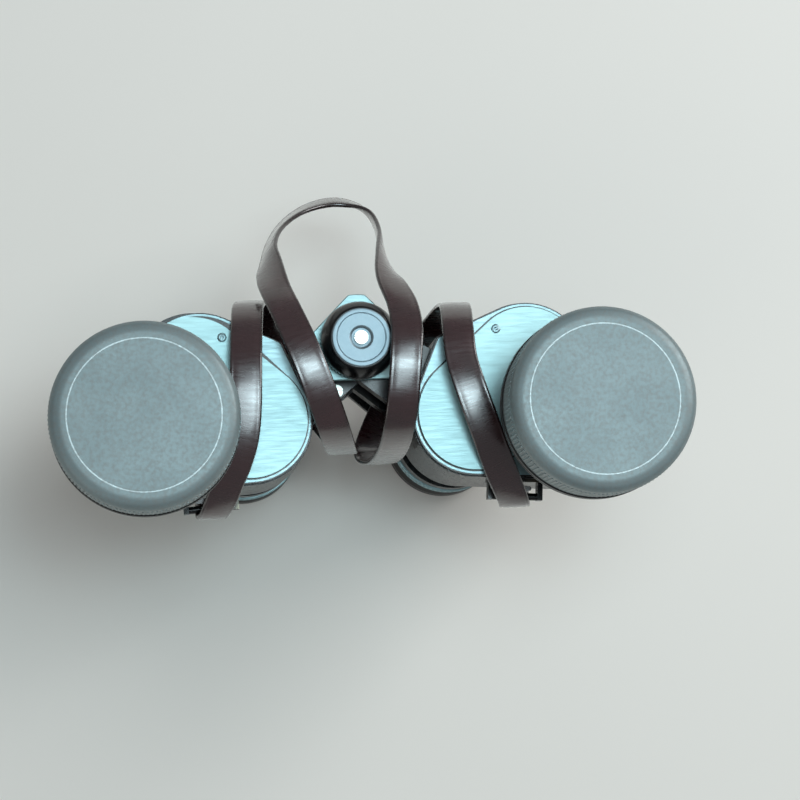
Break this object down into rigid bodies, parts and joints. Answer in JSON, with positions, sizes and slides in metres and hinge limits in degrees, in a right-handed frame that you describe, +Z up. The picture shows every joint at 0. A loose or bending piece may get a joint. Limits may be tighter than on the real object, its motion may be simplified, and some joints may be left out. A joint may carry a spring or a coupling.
{
  "type": "prism binocular loupes",
  "caption": "Hinged centre-focus prism binocular loupes standing on their eyecups, with grey push-on objective caps and a leather neck strap wound round both halves.",
  "frame": {"origin": "on the hinge axis, in the plane of the eyecup rims that the loupes stand on, which is the middle of the bottom of their bounding box", "axes": "+Z up along the optical axes from the eyecups to the objectives, +X towards the half without the dioptre ring, +Y away from the fold of the two halves, on the side of the strap loop"},
  "size_m": [0.1652, 0.0945, 0.124],
  "materials": {
    "polished_nickel": "polished nickel plate on brass",
    "black_lacquer": "black lacquer on aluminium",
    "steel_screws": "turned steel",
    "prism_glass": "polished crown glass",
    "lens_glass": "polished, coated glass",
    "spring_steel": "rolled spring steel",
    "blackened_brass": "blackened",
    "grey_cap": "fine matt grey enamel",
    "black_plastic": "moulded phenolic, worn gloss",
    "silver_disc": "satin turned",
    "steel": "turned steel",
    "strap_leather": "dark brown, glazed"
  },
  "bodies": {
    "left_half": {"left_housing": "polished_nickel", "left_front_cover": "polished_nickel", "left_rear_cover": "black_lacquer", "left_cover_screws": "steel_screws", "left_prism_front": "prism_glass", "left_prism_rear": "prism_glass", "left_prism_clip_front": "spring_steel", "left_prism_clip_rear": "spring_steel", "left_objective_barrel": "polished_nickel", "left_objective_cell": "blackened_brass", "left_objective_lens": "lens_glass", "left_objective_retainer": "blackened_brass", "left_strap_lug": "polished_nickel", "left_eyepiece_guide": "blackened_brass", "hinge_axle": "steel", "hinge_plate": "polished_nickel", "axle_nut": "steel", "lock_screw": "steel", "strap_left": "strap_leather", "strap_loop": "strap_leather"},
    "right_half": {"right_housing": "polished_nickel", "right_front_cover": "polished_nickel", "right_rear_cover": "black_lacquer", "right_cover_screws": "steel_screws", "right_prism_front": "prism_glass", "right_prism_rear": "prism_glass", "right_prism_clip_front": "spring_steel", "right_prism_clip_rear": "spring_steel", "right_objective_barrel": "polished_nickel", "right_objective_cell": "blackened_brass", "right_objective_lens": "lens_glass", "right_objective_retainer": "blackened_brass", "right_strap_lug": "polished_nickel", "right_eyepiece_guide": "blackened_brass", "strap_right": "strap_leather"},
    "left_cap": {"left_objective_cap": "grey_cap"},
    "right_cap": {"right_objective_cap": "grey_cap"},
    "focus_wheel": {"focus_wheel": "black_plastic", "wheel_disc": "silver_disc", "wheel_screw": "steel"},
    "left_eyepiece": {"left_eyepiece_sleeve": "polished_nickel", "left_bridge_arm": "black_lacquer", "focus_spindle": "steel", "bridge_nut": "steel"},
    "right_eyepiece": {"right_eyepiece_sleeve": "polished_nickel", "right_bridge_arm": "black_lacquer", "right_grip_ring": "polished_nickel", "right_ocular_barrel": "blackened_brass", "right_field_lens": "lens_glass", "right_eye_lens": "lens_glass", "right_eye_lens_ring": "blackened_brass", "right_eyecup": "black_plastic"},
    "dioptre_ring": {"left_dioptre_ring": "polished_nickel"},
    "left_ocular": {"left_ocular_barrel": "blackened_brass", "left_field_lens": "lens_glass", "left_eye_lens": "lens_glass", "left_eye_lens_ring": "blackened_brass", "left_eyecup": "black_plastic"}
  },
  "joints": [
    {"name": "ipd_hinge", "type": "hinge", "parent": "left_half", "child": "right_half", "pos_m": [0, 0, 0.06], "axis": [0, 0, 1], "range_deg": [-9, 30], "deforming": ["strap_loop"]},
    {"name": "focus_turn", "type": "hinge", "parent": "left_half", "child": "focus_wheel", "pos_m": [0, 0, 0.08], "axis": [0, 0, 1], "range_deg": [-90.1, 120.1]},
    {"name": "left_eyepiece_slide", "type": "slide", "parent": "left_half", "child": "left_eyepiece", "axis": [0, 0, -1], "range_m": [-0.003, 0.004]},
    {"name": "right_eyepiece_slide", "type": "slide", "parent": "right_half", "child": "right_eyepiece", "axis": [0, 0, -1], "range_m": [-0.00301, 0.00401]},
    {"name": "dioptre_turn", "type": "hinge", "parent": "left_eyepiece", "child": "dioptre_ring", "pos_m": [-0.0305, -0.0208, 0.017], "axis": [0, 0, 1], "range_deg": [-90.1, 90.1]},
    {"name": "left_ocular_slide", "type": "slide", "parent": "left_eyepiece", "child": "left_ocular", "axis": [0, 0, -1], "range_m": [-0.0015, 0.0015]},
    {"name": "left_cap_pull", "type": "slide", "parent": "left_half", "child": "left_cap", "axis": [0, 0, 1], "range_m": [0, 0.024]},
    {"name": "right_cap_pull", "type": "slide", "parent": "right_half", "child": "right_cap", "axis": [0, 0, 1], "range_m": [0, 0.024]}
  ],
  "couplings": [
    {"joint": "focus_turn", "follows": "left_eyepiece_slide", "rad_per_m": 523.6},
    {"joint": "right_eyepiece_slide", "follows": "left_eyepiece_slide", "ratio": 1},
    {"joint": "dioptre_turn", "follows": "left_ocular_slide", "rad_per_m": 1047.2}
  ]
}
